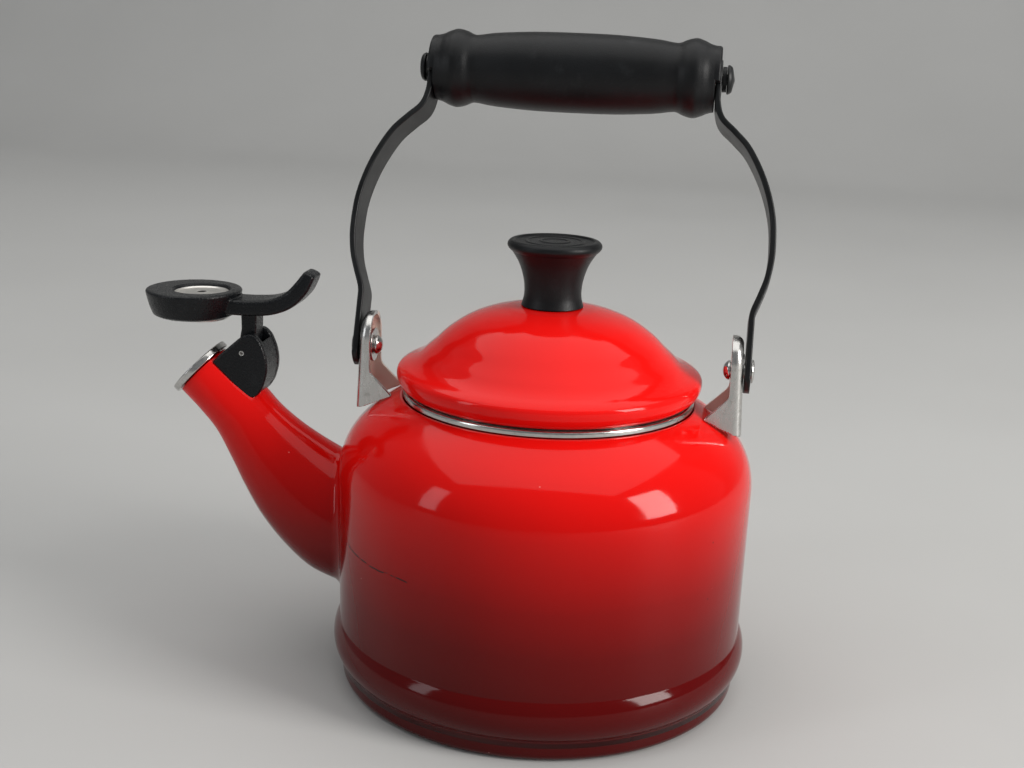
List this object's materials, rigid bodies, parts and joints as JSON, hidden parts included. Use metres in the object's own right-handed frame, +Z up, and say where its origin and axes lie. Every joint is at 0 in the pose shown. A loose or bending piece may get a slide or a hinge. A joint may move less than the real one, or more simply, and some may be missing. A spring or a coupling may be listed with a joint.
{
  "type": "stovetop whistling kettle",
  "caption": "Enamelled stovetop kettle with a curved side spout, flip-up whistle, folding bail handle with a round grip, and a domed lift-off lid with a flared knob.",
  "frame": {"origin": "centre of the flat underside of the base", "axes": "+Z up through the lid's knob, -X the way the spout points, +Y the way the handle leans at rest, and the handle's pivot axis is parallel to X"},
  "size_m": [0.214, 0.144, 0.2192],
  "materials": {
    "enamel_red": "glossy vitreous enamel, bright red on the shoulder shading to dark maroon at the foot",
    "stainless": "satin stainless steel, lightly spotted",
    "phenolic_black": "satin moulded phenolic",
    "coated_steel_black": "semi-gloss black coating on steel",
    "brass_insert": "plain turned brass"
  },
  "bodies": {
    "body": {"body_shell": "enamel_red", "base_pan": "enamel_red", "rim_band": "stainless", "spout": "enamel_red", "spout_mouth_ring": "stainless", "bracket_left": "stainless", "bracket_right": "stainless", "pivot_rivet_left": "stainless", "pivot_rivet_right": "stainless", "pivot_washer_left": "stainless", "pivot_washer_right": "stainless", "pivot_spring_washer_left": "stainless", "pivot_spring_washer_right": "stainless", "whistle_housing": "phenolic_black", "whistle_pin": "stainless", "housing_screw": "stainless", "whistle_leaf_spring": "stainless"},
    "handle": {"handle_strap_left": "coated_steel_black", "handle_strap_right": "coated_steel_black", "grip": "phenolic_black", "grip_tie_rod": "stainless", "grip_washer_left": "coated_steel_black", "grip_washer_right": "coated_steel_black", "grip_dome_nut_left": "coated_steel_black", "grip_dome_nut_right": "coated_steel_black"},
    "lid": {"lid_shell": "enamel_red", "lid_skirt": "stainless", "lid_knob": "phenolic_black", "knob_insert": "brass_insert", "knob_washer": "stainless", "knob_screw": "stainless"},
    "whistle": {"whistle_lever": "phenolic_black", "whistle_outer_disc": "stainless", "whistle_spacer_ring": "stainless", "whistle_inner_disc": "stainless"}
  },
  "joints": [
    {"name": "handle_swing", "type": "hinge", "parent": "body", "child": "handle", "pos_m": [0, 0, 0.1133], "axis": [1, 0, 0], "range_deg": [-92, 135]},
    {"name": "lid_lift", "type": "slide", "parent": "body", "child": "lid", "axis": [0, 0, 1], "range_m": [0, 0.045]},
    {"name": "whistle_flip", "type": "hinge", "parent": "body", "child": "whistle", "pos_m": [-0.1059, 0, 0.1085], "axis": [0, -1, 0], "range_deg": [0, 48.8]}
  ]
}
